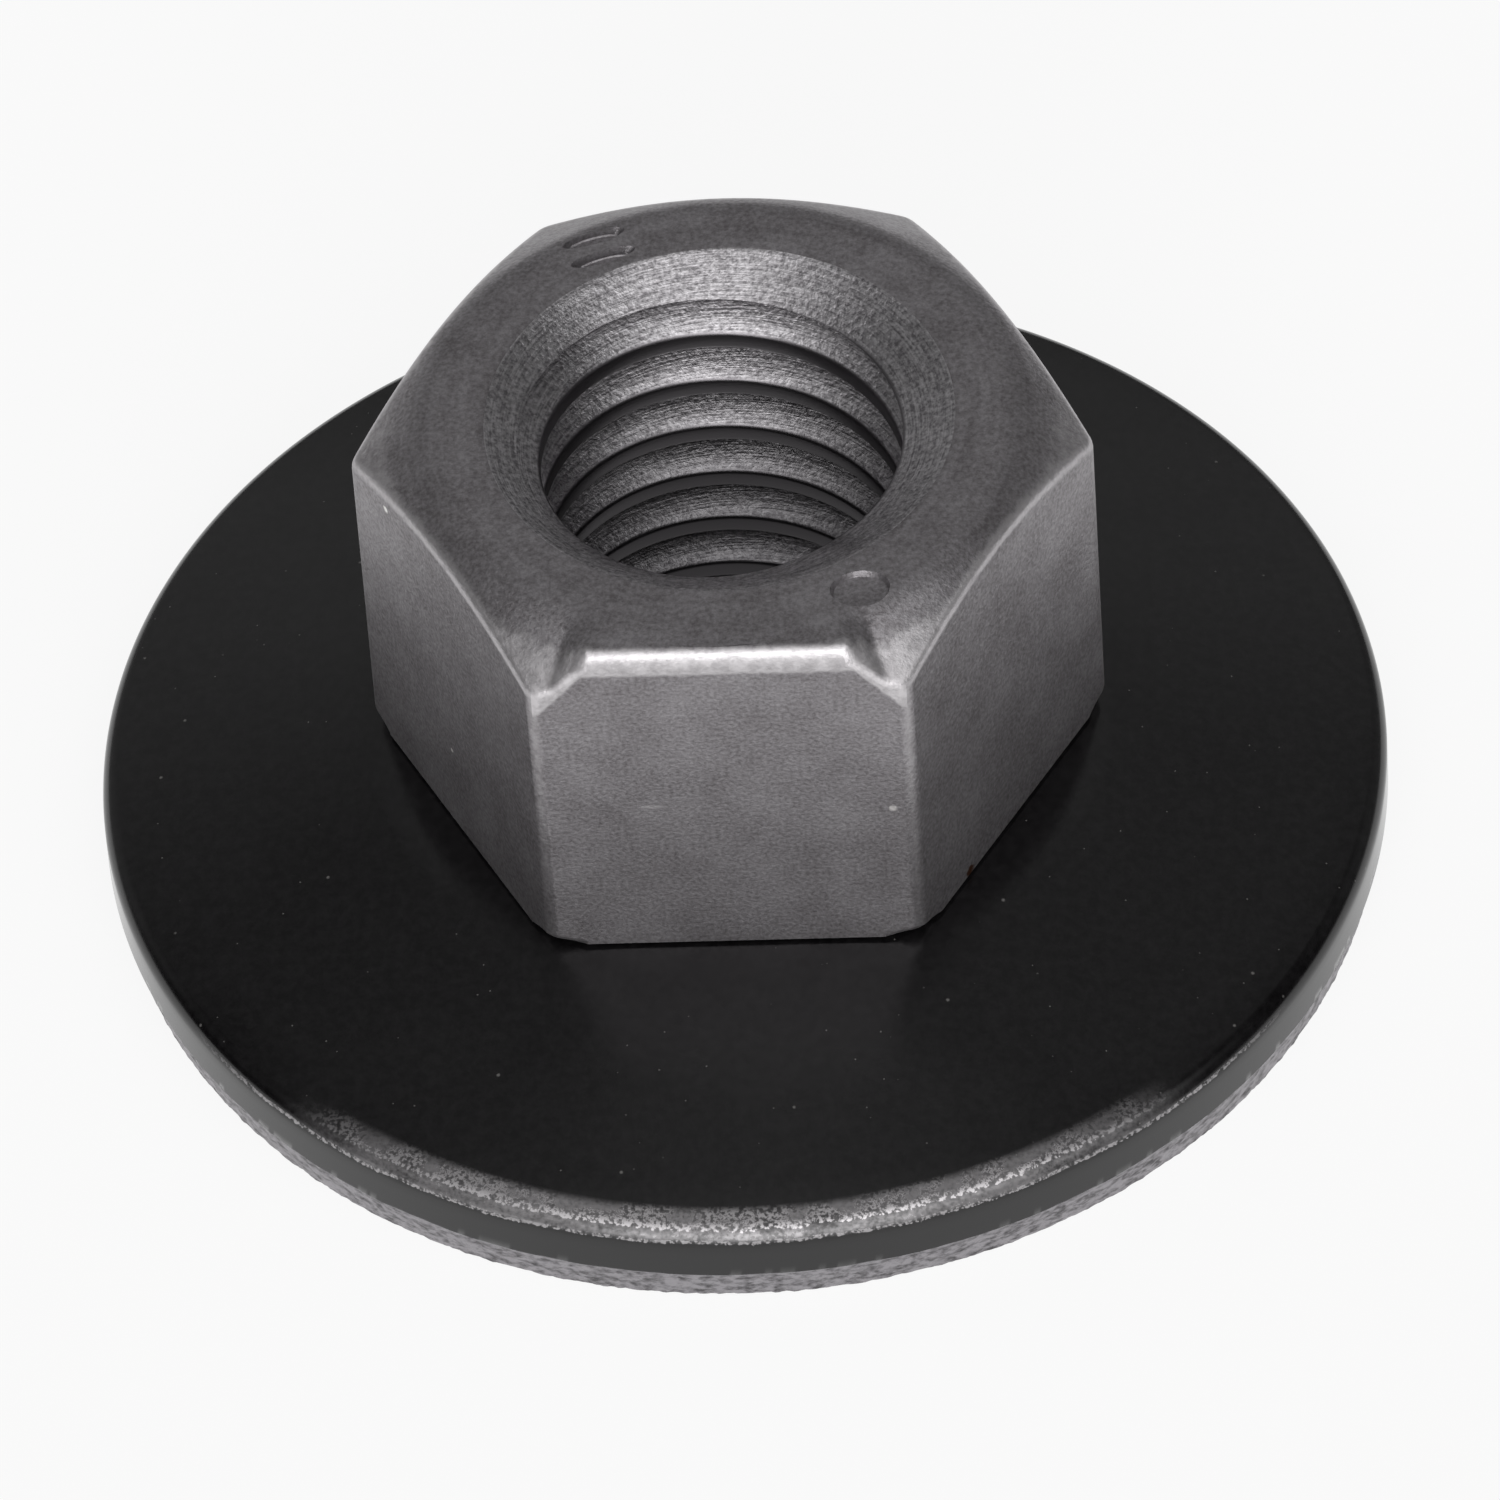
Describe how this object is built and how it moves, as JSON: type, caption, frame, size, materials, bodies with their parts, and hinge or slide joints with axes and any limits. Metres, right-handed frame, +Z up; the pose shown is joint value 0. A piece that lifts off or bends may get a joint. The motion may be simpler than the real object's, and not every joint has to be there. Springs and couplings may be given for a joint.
{
  "type": "hex nut with captive conical washer",
  "caption": "Hexagon nut with a right-hand metric thread and a loose dished washer held on its flared collar, for clamping soft or thin panels.",
  "frame": {"origin": "middle of the washer's lower rim plane, on the thread's axis", "axes": "+Z up the thread's axis from the washer towards the nut's top face; one pair of wrench flats faces -Y and +Y"},
  "size_m": [0.0242, 0.0242, 0.0109],
  "materials": {
    "nut_steel": "plain matt steel, dark warm grey with worn bright edges",
    "washer_steel": "black oxide, oiled and glossy"
  },
  "bodies": {
    "washer": {"conical_washer": "washer_steel"},
    "nut": {"hex_nut": "nut_steel"}
  },
  "joints": [
    {"name": "nut_spin", "type": "hinge", "parent": "washer", "child": "nut", "pos_m": [0, 0, 0.00304], "axis": [0, 0, 1], "continuous": true}
  ]
}
